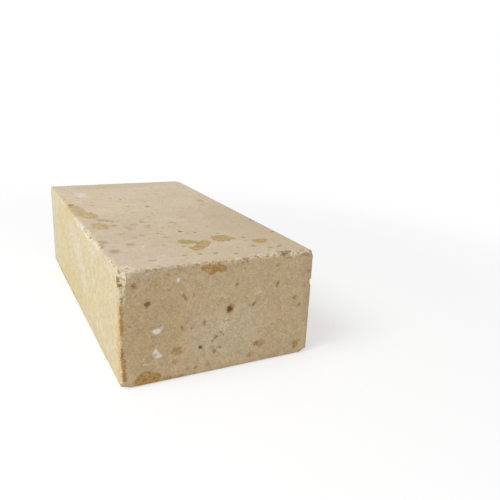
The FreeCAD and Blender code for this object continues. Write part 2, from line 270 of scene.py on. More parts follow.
SPOTS = {
    NEAR_HEADER: (
        (IRON, 60.7, 36.7, 1.2, 1.6, -15),
        (BROWN, 78.7, 12.5, 1.5, 1.2, 0),
        (FAINT_BROWN, 81.5, 12.3, 1.7, 1.6, 0),
        (PIT, 43.8, 16.5, 0.9, 1.1, 20),
        (DARK_BROWN, 14.3, 46.4, 1.8, 1.1, 25),
        (BROWN, 14.0, 45.0, 0.8, 0.9, 0),
        (BROWN, 7.5, 57.2, 0.8, 0.9, 0),
        (BROWN, 34.8, 47.2, 0.9, 1.1, 20),
        (BROWN, 33.6, 49.0, 0.6, 0.6, 0),
        (FAINT_BROWN, 39.4, 47.9, 0.7, 0.9, 0),
        (BROWN, 64.8, 50.8, 0.9, 0.8, 0),
        (FAINT_BROWN, 25.8, 52.5, 0.9, 0.7, 0),
        (BROWN, 90.6, 47.5, 0.8, 1.7, -20),
        (BROWN, 75.8, 37.3, 0.9, 1.4, -35),
        (FAINT_BROWN, 73.1, 36.9, 0.7, 0.9, 0),
        (SHALLOW_PIT, 106.2, 32.5, 0.9, 0.9, 0),
        (SHALLOW_PIT, 5.0, 35.5, 0.6, 0.6, 0),
        (BROWN, 33.1, 30.0, 0.7, 0.9, 0),
        (FAINT_BROWN, 38.5, 28.8, 0.7, 0.7, 0),
        (FAINT_BROWN, 45.6, 30.8, 0.6, 0.8, 0),
        (SHALLOW_PIT, 52.7, 21.0, 1.2, 0.9, 20),
        (SHALLOW_PIT, 50.9, 19.2, 0.9, 0.9, 0),
        (SHALLOW_PIT, 52.3, 12.5, 1.1, 1.2, 0),
        (SHALLOW_PIT, 55.5, 14.4, 0.8, 0.9, 0),
        (BROWN, 41.4, 4.8, 0.7, 0.6, 0),
        (FAINT_BROWN, 36.5, 5.0, 0.6, 0.6, 0),
        (FAINT_BROWN, 104.8, 5.0, 0.6, 0.9, 0),
        (FAINT_BROWN, 111.3, 52.3, 1.0, 1.0, 0),
        (BROWN, 113.2, 44.6, 0.8, 2.2, 0),
        (BROWN, 25.4, 61.2, 0.5, 0.5, 0),
        (FAINT_BROWN, 31.3, 63.2, 0.6, 0.6, 0),
        (FAINT_BROWN, 29.8, 61.0, 0.5, 0.5, 0),
        (BROWN, 44.6, 62.2, 0.8, 1.0, 0),
        (OCHRE_SPECK, 10.6, 6.4, 0.5, 0.5, 0),
        (OCHRE_SPECK, 12.6, 3.8, 0.6, 0.5, 0),
        (OCHRE_SPECK, 15.6, 5.6, 0.5, 0.6, 0),
        (OCHRE_SPECK, 17.6, 3.2, 0.6, 0.5, 0),
        (OCHRE_SPECK, 9.2, 4.0, 0.5, 0.5, 0),
        (FAINT_BROWN, 90.0, 58.5, 1.2, 1.0, 0),
        (OLIVE_NICK, 70.3, 63.6, 0.8, 0.8, 0),
        (FAINT_BROWN, 67.6, 63.0, 0.8, 0.8, 0),
        (FAINT_BROWN, 96.8, 62.8, 1.5, 0.9, 0),
        (FAINT_BROWN, 108.0, 63.6, 1.8, 1.0, 0),
        (OLIVE_NICK, 95.4, 63.8, 2.4, 0.9, 0),
        (BROWN, 2.0, 60.2, 0.5, 1.0, 0),
        (BROWN, 1.0, 51.2, 0.9, 1.3, 0),
    ),
    UPPER_BED: (
        (OLIVE_NICK, 14.8, 0.3, 1.2, 1.4, 0),
        (OLIVE_NICK, 19.2, 0.2, 1.3, 1.2, 0),
        (FAINT_BROWN, 31.4, 1.4, 0.8, 1.2, 0),
        (OLIVE_NICK, 41.5, 0.2, 1.5, 1.1, 0),
        (FAINT_BROWN, 47.0, 2.0, 0.9, 1.4, 0),
        (BROWN, 50.6, 2.0, 0.6, 1.1, 0),
        (OLIVE_NICK, 69.8, 0.6, 2.2, 1.0, 0),
        (BROWN, 77.0, 1.2, 1.1, 1.3, 0),
        (OLIVE_NICK, 83.8, 1.2, 0.8, 1.2, 0),
        (FAINT_BROWN, 88.0, 1.0, 0.9, 1.4, 0),
        (OLIVE_NICK, 95.6, 2.0, 2.4, 3.6, 0),
        (OLIVE_NICK, 98.2, 3.8, 2.2, 1.6, 0),
        (DARK_BROWN, 54.6, 62.8, 1.1, 1.5, 0),
        (BROWN, 4.0, 154.0, 2.0, 3.4, 0),
        (FAINT_BROWN, 55.0, 135.0, 2.0, 2.8, 0),
        (BED_PIT, 41.8, 52.8, 1.3, 1.4, 0),
        (BED_PIT, 62.4, 57.3, 1.0, 1.6, 0),
        (BED_PIT, 86.8, 38.1, 1.2, 1.5, 0),
        (BED_PIT, 21.1, 13.8, 2.2, 1.0, 0),
        (BED_PIT, 40.5, 16.3, 1.2, 1.0, 0),
        (BED_PIT, 49.0, 15.6, 1.3, 1.4, 0),
        (BED_PIT, 58.0, 14.4, 1.7, 1.2, 20),
        (BED_PIT, 68.3, 10.0, 1.3, 1.0, 0),
        (BED_PIT, 92.6, 14.4, 1.6, 1.4, 0),
        (BED_PIT, 99.0, 15.0, 1.0, 2.0, -40),
        (BED_PIT, 111.0, 44.4, 1.2, 2.0, -40),
        (WHITE_GRAIN, 23.9, 38.8, 0.6, 0.8, 0),
    ),
    YELLOW_STRETCHER: (
        (EDGE_OCHRE, 4.0, 60.0, 1.5, 2.5, 0),
        (DARK_BROWN, 1.9, 57.8, 1.7, 2.6, 0),
    ),
}
SCARS = {
    UPPER_BED: (
        (FRESH, 2.5, 3.0, 6.0, 7.0, 0),
        (OLIVE_GRIT, 95.5, 2.6, 5.2, 3.8, 0),
    ),
    NEAR_HEADER: (
        (GREY_GRIT, 12.5, 62.6, 4.5, 1.8, 0),
    ),
}

# Long marks on each face, as a band between two points: kind, first u, v, last u, v, half width.
STAIN_BANDS = {
    YELLOW_STRETCHER: (
        (SKIN_ORANGE, 1.2, 8.0, 1.4, 36.0, 3.4),
        (SKIN_ORANGE, 1.0, 42.0, 1.0, 50.0, 2.4),
    ),
    UPPER_BED: (
        (GOLDEN_RUB, 0.6, 104.0, 0.8, 152.0, 1.2),
    ),
    NEAR_HEADER: (
        (OCHRE_PALE, 24.0, 1.4, 34.0, 1.2, 1.0),
        (ARRIS_OLIVE, 26.0, 64.4, 45.0, 64.4, 0.9),
    ),
    LOWER_BED: (
        (OCHRE, 0.8, 33.0, 1.0, 70.0, 2.4),
        (OCHRE, 1.0, 68.0, 0.8, 118.0, 2.2),
        (OCHRE, 0.8, 122.0, 1.4, 158.0, 3.2),
        (OCHRE, 1.2, 156.0, 0.6, 196.0, 3.4),
    ),
}
SPOT_BANDS = {
    NEAR_HEADER: (
        (EDGE_BROWN, 1.6, 5.8, 1.1, 12.0, 1.3),
        (EDGE_BROWN, 0.9, 12.5, 0.4, 16.8, 1.3),
        (EDGE_RED, 0.4, 17.8, 0.4, 23.3, 1.1),
        (TAN_HALO, 0.6, 24.0, 0.6, 31.0, 1.0),
        # Painted highlight on the orange stain of the left arris.
        (ORANGE_EDGE_HIGHLIGHT, 0.2, 9.4, 0.0, 13.4, 0.9),
        (EDGE_OCHRE, 0.3, 31.8, 0.4, 41.0, 1.0),
        (EDGE_BROWN, 0.5, 40.0, 0.4, 48.0, 1.1),
        (PALE_GRAIN, 54.6, 27.0, 59.4, 31.0, 0.35),
        (PALE_GRAIN, 54.0, 24.2, 58.6, 28.0, 0.35),
        (PALE_GRAIN, 57.5, 24.6, 60.6, 27.2, 0.3),
        (SHALLOW_PIT, 55.4, 24.0, 57.6, 21.6, 0.3),
        (SHALLOW_PIT, 57.2, 29.8, 60.2, 30.2, 0.3),
        (PALE_GRAIN, 12.0, 12.4, 15.6, 12.2, 0.3),
        (PALE_GRAIN, 76.5, 43.6, 79.5, 44.4, 0.5),
        (PALE_GRAIN, 83.0, 36.6, 84.6, 38.8, 0.4),
    ),
}
SCAR_BANDS = {
    NEAR_HEADER: (
        (FRESH, 0.6, 50.0, 1.2, 65.0, 2.4),
    ),
    UPPER_BED: (
        (FRESH, 0.0, 2.6, 9.0, 2.4, 3.0),
        (WORN_GREY, 9.0, 2.2, 24.0, 2.0, 2.9),
        (BROKEN, 22.0, 1.6, 52.0, 1.5, 1.7),
        (BROKEN, 52.0, 1.6, 78.0, 1.6, 2.2),
        (PALE_GRIT, 80.0, 2.2, 113.0, 2.2, 2.7),
        (RUBBED, 0.3, 64.0, 0.4, 112.0, 0.8),
        (FRESH, 0.4, 6.0, 0.4, 24.0, 1.6),
    ),
    YELLOW_STRETCHER: (
        (RUBBED, 46.0, 64.4, 118.0, 64.0, 1.9),
    ),
}
LAYERS = {
    "cast": (CASTS, {}),
    "stain": (STAINS, STAIN_BANDS),
    "spot": (SPOTS, SPOT_BANDS),
    "scar": (SCARS, SCAR_BANDS),
}

# Quartz grains cut through by the near header: milkiness from 0 to 1, and an outline in u, v with no hollow
# corners.
QUARTZ = (
    (1.0, ((16.2, 30.9), (17.8, 31.8), (20.6, 32.2), (21.6, 31.0), (20.6, 29.3), (19.1, 28.8), (17.3, 29.5))),
    (0.3, ((20.2, 32.2), (22.9, 33.6), (22.7, 31.2), (20.8, 29.5))),
    (0.9, ((18.7, 21.2), (16.8, 18.4), (17.0, 16.6), (19.8, 18.4))),
    (0.2, ((16.6, 18.6), (17.4, 15.0), (19.2, 15.0), (19.4, 19.2))),
    (0.9, ((18.9, 19.6), (18.9, 14.4), (22.4, 15.7))),
    (0.6, ((29.9, 58.6), (31.8, 59.1), (31.6, 57.0), (30.6, 55.8), (29.8, 56.8))),
)

# How marks lie on the mesh, in millimetres.
MARK_REACH = 5.0  # how far outside its rim a mark is still felt, for its soft edge
MARK_MARGIN = 2.0  # how far round a mark the upper bed is cut finer
PITTED = (-0.3, 0.7)  # how far inside a mark its pit starts, and has its whole depth
WIDE_RIM = 3.0  # rims softer than this are those of casts
BAND_WAVE = 0.5  # how much larger a band's waves are than its half width
QUARTZ_REACH = 8.0  # quartz is looked for as far as this from a grain's middle
QUARTZ_DEPTH = 1.0  # how far below the face a vertex may lie and still take quartz

CAST_BIND = 4.0  # how many times sooner a cast ends round an arris than on its face
NO_TINT = (0.5, 0.4, 0.25, 0.0)  # the colour and cover of a vertex that no mark reaches

# A mark's outline is made wavy by a wide drift and a finer one, as shares of the mark's size.
WIDE_DRIFT = 0.4
FINE_DRIFT = 0.25
FINER = 2.6  # how many times finer the second is
LARGEST_DRIFT = 4.0  # marks larger than this, in millimetres, drift no farther than one of this size

# How finely the block is cut, in millimetres. The squares of the first row of bands are cut in four, then
# those of the second row again, and last the strip along the near top arris. A band is a face, or None for
# every arris, and how far the band reaches.
SQUARE = 2.6
FINER_BANDS = (
    ((NEAR_HEADER, 5.5), (UPPER_BED, 0.1), (YELLOW_STRETCHER, 0.1), (None, 4.0)),
    ((NEAR_HEADER, 5.0), (None, 2.8)),
)
FINEST_STRIP = 3.6

# The relief of the face and of the broken body, in millimetres.
SWELL, SWELL_WIDTH = 0.05, 17
FACE_GRAIN, FACE_GRAIN_WIDTH = 0.07, 1.9
GRAIN = 1.1  # size of the body's coarse grains, where they show
GRAIN_BEND, GRAIN_BEND_WIDTH = 0.5, 2.1  # how far the grains are bent out of shape
GRAIN_GAP = 0.2  # depth of the gaps between grains
LOST_GRAIN = 0.25  # depth of the hollow that a lost grain leaves
BROKEN_WAVE, BROKEN_WAVE_WIDTH = 0.15, 5.0
WEAR_WAVE, WEAR_WAVE_WIDTH = 0.7, 2.5  # how the worn strip along an arris wanders
WEAR_ENDS = (0.4, 1.8)  # how far from an arris its wear starts to fade, and ends
BLOCK_RADIUS = 1.5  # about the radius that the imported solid's arrises have
CHIP_DEPTHS = (0.35, 0.9)  # how deep a chip is where its grain starts to show, and where it all shows
DRAW_SPREAD = 9.7  # sends neighbouring grains to draws of their own


def on_face(face, u, v, below=0.0):
    """A point in millimetres from its u and v on a face."""
    axis, side, along_u, along_v = face
    point = Vector((0, 0, 0))
    point[along_u] = LOW[along_u] + u
    point[along_v] = LOW[along_v] + v
    point[axis] = HIGH[axis] - below if side > 0 else LOW[axis] + below
    return point


def depth_below(face, point):
    axis, side = face[:2]
    return HIGH[axis] - point[axis] if side > 0 else point[axis] - LOW[axis]


def face_place(face, point):
    along_u, along_v = face[2:]
    return point[along_u] - LOW[along_u], point[along_v] - LOW[along_v]


def inside_round(mark, u, v):
    """How far u, v lies inside a round mark, in millimetres, and less than 0 outside it."""
    middle_u, middle_v, half_u, half_v, turn = mark
    cosine, sine = math.cos(math.radians(turn)), math.sin(math.radians(turn))
    du, dv = u - middle_u, v - middle_v
    along, across = (du * cosine + dv * sine) / half_u, (dv * cosine - du * sine) / half_v
    return (1 - math.hypot(along, across)) * math.sqrt(half_u * half_v)


def inside_band(band, u, v):
    first_u, first_v, last_u, last_v, half_width = band
    run_u, run_v = last_u - first_u, last_v - first_v
    share = ((u - first_u) * run_u + (v - first_v) * run_v) / (run_u**2 + run_v**2)
    share = min(1.0, max(0.0, share))
    return half_width - math.hypot(u - first_u - share * run_u, v - first_v - share * run_v)


def inside_outline(outline, u, v):
    """How far u, v lies inside an outline whose points run either way round."""
    area = sum(a[0] * b[1] - b[0] * a[1] for a, b in zip(outline, outline[1:] + outline[:1]))
    turn = 1 if area > 0 else -1
    nearest = math.inf
    for (au, av), (bu, bv) in zip(outline, outline[1:] + outline[:1]):
        side = (bu - au) * (v - av) - (bv - av) * (u - au)
        nearest = min(nearest, turn * side / math.hypot(bu - au, bv - av))
    return nearest


def halve_squares(bm, wanted):
    """Cuts in four the squares whose corners all lie where wanted(point) says."""
    picked = {v for v in bm.verts if wanted(v.co)}
    inside = [e for e in bm.edges if e.verts[0] in picked and e.verts[1] in picked]
    bmesh.ops.subdivide_edges(bm, edges=inside, cuts=1, use_grid_fill=True)


def cut_block():
    """The block's skin in millimetres, cut into squares: coarse ones on the hidden faces, and the finest
    along the worn near top arris."""
    bm = bmesh.new()
    bmesh.ops.create_cube(bm, size=1.0)
    bmesh.ops.scale(bm, vec=SIZE, verts=bm.verts)
    bmesh.ops.translate(bm, vec=(LOW + HIGH) / 2, verts=bm.verts)
    for axis in (X, Y, Z):
        along = [e for e in bm.edges if abs(e.verts[0].co[axis] - e.verts[1].co[axis]) > SQUARE]
        cuts = round(SIZE[axis] / SQUARE) - 1
        bmesh.ops.subdivide_edges(bm, edges=along, cuts=cuts, use_grid_fill=True)
    for bands in FINER_BANDS:
        halve_squares(bm, lambda point: any(in_band(face, point, depth) for face, depth in bands))
    strip = (NEAR_HEADER, UPPER_BED)
    halve_squares(bm, lambda point: all(in_band(face, point, FINEST_STRIP) for face in strip))
    return bm


def in_band(face, point, depth):
    """Whether a point lies within depth of a face or, with no face, of any arris."""
    return (depth_below(face, point) if face else arris_distance(point)[0]) < depth


def arris_distance(point):
    """How far a point is from the nearest arris, and the two faces that meet there."""
    below = [min(point[a] - LOW[a], HIGH[a] - point[a]) for a in (X, Y, Z)]
    sides = [-1 if point[a] - LOW[a] < HIGH[a] - point[a] else 1 for a in (X, Y, Z)]
    pairs = ((math.hypot(below[a], below[b]), a, b) for a, b in ((X, Y), (Y, Z), (X, Z)))
    distance, a, b = min(pairs)
    return distance, frozenset(((a, sides[a]), (b, sides[b])))


def refine_marks(bm):
    """Cuts finer the squares in and round the marks of the upper bed, which are coarser than the header's."""
    tree = vertex_tree(bm)
    picked = set()
    for _, *shape in STAINS[UPPER_BED] + SPOTS[UPPER_BED]:
        near = tree.find_range(on_face(UPPER_BED, *shape[:2]), max(shape[2:4]) + MARK_MARGIN)
        picked.update(index for _, index, _ in near)
    inside = [e for e in bm.edges if e.verts[0].index in picked and e.verts[1].index in picked]
    bmesh.ops.subdivide_edges(bm, edges=inside, cuts=1, use_grid_fill=True)


def vertex_tree(bm):
    tree = kdtree.KDTree(len(bm.verts))
    bm.verts.index_update()
    bm.verts.ensure_lookup_table()
    for vertex in bm.verts:
        tree.insert(vertex.co, vertex.index)
    tree.balance()
    return tree


def outline_middle(outline):
    return [sum(p[k] for p in outline) / len(outline) for k in (0, 1)]


def draw_onto_solid(bm):
    """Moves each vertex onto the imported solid, and returns the solid's outward direction at each."""
    solid = bmesh.new()
    solid.from_mesh(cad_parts["firebrick"].data)
    bmesh.ops.remove_doubles(solid, verts=solid.verts, dist=1e-6)
    bmesh.ops.scale(solid, vec=(1 / MM,) * 3, verts=solid.verts)
    tree = BVHTree.FromBMesh(solid)
    outward = []
    for vertex in bm.verts:
        place, normal, _, _ = tree.find_nearest(vertex.co)
        vertex.co = place
        outward.append(normal)
    solid.free()
    return outward


def smooth_step(low, high, value):
    share = min(1.0, max(0.0, (value - low) / (high - low)))
    return share * share * (3 - 2 * share)


def grain_at(point):
    """How near a point is to the rim of the coarse grain it is in, from 0 to 1, and that grain's own draw."""
    warped = point + noise.noise_vector(point / GRAIN_BEND_WIDTH) * GRAIN_BEND
    distances, places = noise.voronoi(warped / GRAIN)
    gap = 1 - smooth_step(0.0, 0.4, distances[1] - distances[0])
    return gap, (noise.cell(places[0] * DRAW_SPREAD) + 1) / 2


def crumble(point, gap, draw):
    """How much is missing where the body is broken, in millimetres: gaps between grains, and lost grains."""
    lost = smooth_step(0.55, 0.75, draw)
    wave = smooth_step(0.05, 0.5, noise.noise(point / BROKEN_WAVE_WIDTH + Vector((5, 1, 8))))
    return GRAIN_GAP * gap + LOST_GRAIN * lost + BROKEN_WAVE * wave


def surface_relief(point):
    """The relief of the fired face itself, in millimetres below the solid."""
    swell = SWELL * (1 + noise.noise(point / SWELL_WIDTH))
    grain = FACE_GRAIN * abs(noise.noise(point / FACE_GRAIN_WIDTH + Vector((7, 3, 5))))
    return swell + grain


def arris_wear(point):
    """How far a point is in the worn strip along its nearest arris, from 0 to that arris's wear."""
    distance, arris = arris_distance(point)
    distance += WEAR_WAVE * noise.noise(point / WEAR_WAVE_WIDTH)
    return WORN_ARRISES.get(arris, ARRIS_WEAR) * (1 - smooth_step(*WEAR_ENDS, distance))


def chipped(point):
    """How plainly a point of the solid lies in a chip, from 0 to 1, by its depth below the rounded block."""
    middle = (LOW + HIGH) / 2
    out = [abs(point[a] - middle[a]) - SIZE[a] / 2 + BLOCK_RADIUS for a in (X, Y, Z)]
    depth = BLOCK_RADIUS - math.hypot(*(max(0.0, o) for o in out)) - min(max(out), 0.0)
    return smooth_step(*CHIP_DEPTHS, depth)


def each_mark(marks):
    """The marks of every face, each with its face before it."""
    return [(face, *mark) for face, rows in marks.items() for mark in rows]


class MarkLayer:
    """One layer of marks on the mesh: how far inside a mark each vertex lies, with its rim and its tint."""

    def __init__(self, bm, tree, name):
        self.bm, self.tree = bm, tree
        self.shape = bm.verts.layers.float_vector.new(name)
        self.tint = bm.verts.layers.float_color.new(name + "_tint")
        self.depths = [0.0] * len(bm.verts)
        for vertex in bm.verts:
            vertex[self.shape] = Vector((-MARK_REACH, 1.0, 0.5))
            vertex[self.tint] = NO_TINT

    def lay(self, face, kind, inside, middle, reach, size):
        """Lays one mark with a wavy outline, that goes on round an arris. Where two meet, each vertex keeps
        the one that it lies further inside."""
        colour, cover, soft, ragged, depth = kind
        for _, index, _ in self.tree.find_range(on_face(face, *middle), reach + MARK_REACH):
            vertex = self.bm.verts[index]
            below = depth_below(face, vertex.co)
            if below > reach + MARK_REACH:
                continue
            drift = noise.noise_vector(vertex.co / size) * WIDE_DRIFT
            drift += noise.noise_vector(vertex.co / size * FINER) * FINE_DRIFT
            u, v = face_place(face, vertex.co + drift * min(size, LARGEST_DRIFT))
            value = inside(u, v) - below * (CAST_BIND if soft > WIDE_RIM else 1.0)
            if value > vertex[self.shape].x:
                vertex[self.shape] = Vector((value, soft, ragged))
                vertex[self.tint] = (*colour, cover)
            self.depths[index] = max(self.depths[index], depth * smooth_step(*PITTED, value))

    def lay_round(self, marks):
        for face, kind, *shape in each_mark(marks):
            reach = max(shape[2:4])
            size = math.sqrt(shape[2] * shape[3])
            self.lay(face, kind, lambda u, v: inside_round(shape, u, v), shape[:2], reach, size)

    def lay_bands(self, bands):
        for face, kind, *shape in each_mark(bands):
            first_u, first_v, last_u, last_v, half_width = shape
            middle = ((first_u + last_u) / 2, (first_v + last_v) / 2)
            reach = math.hypot(last_u - first_u, last_v - first_v) / 2 + half_width
            size = half_width + BAND_WAVE
            self.lay(face, kind, lambda u, v: inside_band(shape, u, v), middle, reach, size)


def write_sides(bm, scar_depths):
    """Keeps on each vertex how far it lies on a bed or the yellow skin, how broken the body is there, and the
    coarse grain that it is in. Returns the relief of each vertex."""
    sides = bm.verts.layers.float_vector.new("sides")
    grit = bm.verts.layers.float_vector.new("grit")
    reliefs = []
    for vertex, scar in zip(bm.verts, scar_depths):
        point = vertex.co
        below = [min(point[a] - LOW[a], HIGH[a] - point[a]) for a in (X, Y, Z)]
        bed = min(below[X], below[Y]) - below[Z]
        skin = min(below[Y], below[Z]) - (point.x - LOW.x)
        wear = max(arris_wear(point), chipped(point), scar)
        gap, draw = grain_at(point) if wear > 0 else (0.0, 0.0)
        vertex[sides] = Vector((bed, skin, wear))
        vertex[grit] = Vector((gap, draw, 0.0))
        reliefs.append(surface_relief(point) + wear * crumble(point, gap, draw))
    return reliefs


def write_quartz(bm, tree):
    """Keeps on each vertex how far it lies inside a quartz grain, and how milky that grain is."""
    quartz = bm.verts.layers.float_vector.new("quartz")
    for vertex in bm.verts:
        vertex[quartz] = Vector((-MARK_REACH, 0.5, 0.0))
    for milkiness, outline in QUARTZ:
        for _, index, _ in tree.find_range(on_face(NEAR_HEADER, *outline_middle(outline)), QUARTZ_REACH):
            vertex = bm.verts[index]
            value = inside_outline(outline, *face_place(NEAR_HEADER, vertex.co))
            if depth_below(NEAR_HEADER, vertex.co) < QUARTZ_DEPTH and value > vertex[quartz].x:
                vertex[quartz] = Vector((value, milkiness, 0.0))


def make_brick():
    bm = cut_block()
    refine_marks(bm)
    bmesh.ops.triangulate(bm, faces=[f for f in bm.faces if len(f.verts) > 4])
    outward = draw_onto_solid(bm)
    tree = vertex_tree(bm)
    layers = {name: MarkLayer(bm, tree, name) for name in LAYERS}
    for name, (marks, bands) in LAYERS.items():
        layers[name].lay_round(marks)
        layers[name].lay_bands(bands)
    write_quartz(bm, tree)
    reliefs = write_sides(bm, layers["scar"].depths)
    pits = (layers["stain"].depths, layers["spot"].depths)
    for vertex, normal, *depths in zip(bm.verts, outward, reliefs, *pits):
        vertex.co -= normal * sum(depths)
    bmesh.ops.scale(bm, vec=(MM,) * 3, verts=bm.verts)
    bmesh.ops.recalc_face_normals(bm, faces=bm.faces)
    for face in bm.faces:
        face.smooth = True
    mesh = bpy.data.meshes.new("fired_brick")
    bm.to_mesh(mesh)
    print("fired_brick:", sum(len(p.vertices) - 2 for p in mesh.polygons), "triangles")
    bm.free()
    brick = bpy.data.objects.new("fired_brick", mesh)
    bpy.context.scene.collection.objects.link(brick)
    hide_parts("firebrick")
    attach(brick, "root")
    return brick


# Sockets of a Mix node, for colours and for vectors: its factor, its two inputs and its result.
MIX_COLOURS = (0, 6, 7, 2)
MIX_VECTORS = (0, 4, 5, 1)


class Finish:
    """The node tree of one material, with a short call for each kind of node that it uses."""

    def __init__(self, name):
        self.material = bpy.data.materials.new(name)
        self.material.use_nodes = True
        self.tree = self.material.node_tree
        self.tree.nodes.clear()
        self.output = self.node("ShaderNodeOutputMaterial")

    def node(self, kind, inputs=None, **settings):
        made = self.tree.nodes.new(kind)
        for key, value in settings.items():
            setattr(made, key, value)
        for key, value in (inputs or {}).items():
            self.plug(made.inputs[key], value)
        return made

    def plug(self, socket, value):
        if isinstance(value, bpy.types.NodeSocket):
            self.tree.links.new(value, socket)
        else:
            socket.default_value = value

    def math(self, operation, first, second, clamp=False):
        made = self.node("ShaderNodeMath", {0: first, 1: second}, operation=operation, use_clamp=clamp)
        return made.outputs[0]

    def plus(self, first, second, clamp=False):
        return self.math("ADD", first, second, clamp)

    def minus(self, first, second, clamp=False):
        return self.math("SUBTRACT", first, second, clamp)

    def times(self, first, second):
        return self.math("MULTIPLY", first, second)

    def swing(self, value, amount):
        """Noise, which lies about a half, as a push either way."""
        return self.times(self.minus(value, 0.5), amount)

    def ease(self, value, low, high):
        """0 below low, 1 above high and a smooth rise between, or a fall where low is the larger."""
        flip = low > high
        return self.node(
            "ShaderNodeMapRange",
            {
                "Value": value,
                "From Min": min(low, high),
                "From Max": max(low, high),
                "To Min": 1.0 if flip else 0.0,
                "To Max": 0.0 if flip else 1.0,
            },
            interpolation_type="SMOOTHSTEP",
        ).outputs["Result"]

    def mix(self, factor, first, second, blend="MIX"):
        made = self.node("ShaderNodeMix", data_type="RGBA", blend_type=blend)
        *sockets, result = MIX_COLOURS
        for socket, value in zip(sockets, (factor, first, second)):
            if isinstance(value, tuple):
                value = (*value, 1.0)
            self.plug(made.inputs[socket], value)
        return made.outputs[result]

    def millimetres(self):
        place = self.node("ShaderNodeTexCoord").outputs["Object"]
        return self.node("ShaderNodeMapping", {"Vector": place, "Scale": (1 / MM,) * 3}).outputs["Vector"]

    def noise(self, place, size, detail=2.0, roughness=0.5):
        inputs = {"Vector": place, "Scale": 1 / size, "Detail": detail, "Roughness": roughness}
        return self.node("ShaderNodeTexNoise", inputs).outputs[0]

    def cells(self, place, size, dimensions="3D"):
        """How far a point is from its cell's middle, in cells, and the cell's own three draws."""
        inputs = {"Vector": place, "Scale": 1 / size}
        made = self.node("ShaderNodeTexVoronoi", inputs, voronoi_dimensions=dimensions).outputs
        draws = self.node("ShaderNodeSeparateColor", {"Color": made["Color"]}).outputs
        return made["Distance"], draws

    def shifted(self, place, x, y, z, stretch=(1, 1, 1)):
        inputs = {"Vector": place, "Location": (x, y, z), "Scale": stretch}
        return self.node("ShaderNodeMapping", inputs).outputs[0]

    def warped(self, place, size, amount):
        """A place pushed about by up to half of amount, so that what is drawn there loses its even shape."""
        inputs = {"Vector": place, "Scale": 1 / size, "Detail": 2.0}
        push = self.node("ShaderNodeTexNoise", inputs).outputs["Color"]
        *sockets, result = MIX_VECTORS
        inputs = dict(zip(sockets, (amount / 2, place, push)))
        return self.node("ShaderNodeMix", inputs, data_type="VECTOR", clamp_factor=False).outputs[result]

    def split(self, vector):
        return self.node("ShaderNodeSeparateXYZ", {"Vector": vector}).outputs

    def attribute(self, name):
        return self.node("ShaderNodeAttribute", attribute_name=name, attribute_type="GEOMETRY").outputs


# Body colours of the kinds of face, as albedo.
HEADER_TAN = (0.585, 0.447, 0.274)
BED_BEIGE = (0.591, 0.483, 0.347)
SKIN_YELLOW = (0.668, 0.565, 0.362)

# Tints that the body drifts to, as a share of its colour.
PINKER = (1.00, 0.97, 1.00)
GREENER = (0.97, 1.00, 0.91)
PALER = (1.06, 1.09, 1.19)
DUSKY = (0.98, 0.98, 0.955)
LIGHTER = (1.04, 1.04, 1.06)
GOLDEN = (1.00, 0.985, 0.83)
# The next two paint light on the bed, paler towards its far end. The first also pales the skin towards its far
# end.
FAR_PALER = (1.04, 1.05, 1.07)
BED_LIT_PALER = (1.09, 1.105, 1.13)
ARRIS_PALER = (1.01, 1.015, 1.07)
RIM = (0.91, 0.82, 0.745)

SKIN_PALE = (0.73, 0.66, 0.54)
IRON_SPECK = (0.30, 0.18, 0.09)
OLIVE_SPECK = (0.36, 0.30, 0.19)
RED_SPECK = (0.33, 0.17, 0.09)
QUARTZ_MILK = (0.84, 0.765, 0.70)
QUARTZ_GREY = (0.55, 0.48, 0.43)
GRIT_PALE = (0.77, 0.68, 0.54)
# The gaps' colour is partly the body's own brown and partly painted shade in the hollows between grains.
GRIT_GAP_AND_SHADE = (0.34, 0.235, 0.115)

# Where a tone starts to turn and has turned, in millimetres: along the brick from its middle, and last up
# from the floor.
# On the bed these two turns are painted light: darker at the near end and paler towards the far end.
BED_LIGHT_TURNS = (-65.0, 40.0)
BED_FAR_LIGHT_TURNS = (20.0, 110.0)
SKIN_TURNS = (-20.0, 110.0)
ARRIS_TURNS = (-40.0, 20.0)
ARRIS_RISES = (40.0, 58.0)
BEHIND = 4.0  # the scattered marks of the plain sides start this far behind the near header
UNDERSIDE = 20.0  # a bed lower than this is the lower bed

# How strongly a tint, a grain or a gap covers what it lies on.
HEADER_DRIFT = 0.6
BED_STREAKS = 0.9
SKIN_CLOUDS = 0.9
GRAIN_TINTS = 0.6
PALE_GRAINS, PALE_GRAINS_ON_BED = 0.2, 0.32  # the second is added on a bed
DARK_GAPS = 0.9
CRYSTAL = 0.9

# Where the bed's and the skin's own bodies start and are whole, in millimetres in from the other faces.
BED_STARTS = (0.3, 1.1)
SKIN_STARTS = (-0.6, 0.1)

# The rims of marks, as rim widths inside the mark.
MARK_STARTS = (-1.1, 0.6)  # where a mark starts to cover, and covers in full
RIM_BROWNS = (2.4, 0.6)  # where its rim starts to turn brown, and has turned
STAIN_ROUGHENS = (-0.2, 0.8)  # where a stain starts to show more grain, and has all of it
THIN_PLACES = 0.25  # how much less a stain covers where it is thin

# Other rims: of scattered grains and of quartz, in millimetres inside, and of the broken body, as wear.
SPECK_RIM = (-0.25, 0.35)
QUARTZ_RIM = (-0.4, 0.4)
BROKEN_RIM = (0.2, 0.65)

# How wide the noise swings that frays the rims, and how much of it the rims of other things take.
RAGGED = 4.0
SIDES_FRAY = 0.4
SPOT_FRAY = 0.7
BROKEN_FRAY = 0.2
QUARTZ_FRAY = 0.9
FACET_SWING = 2.0  # how much quartz turns from milky to clear by its facets

# How much the tone varies by grains of three sizes, less so on a bed and more so in a stain.
CELL_TONE, PATCH_TONE, FINE_TONE = 0.12, 0.22, 0.9
CALM_BED = 0.4
ROUGH_STAIN = 0.8

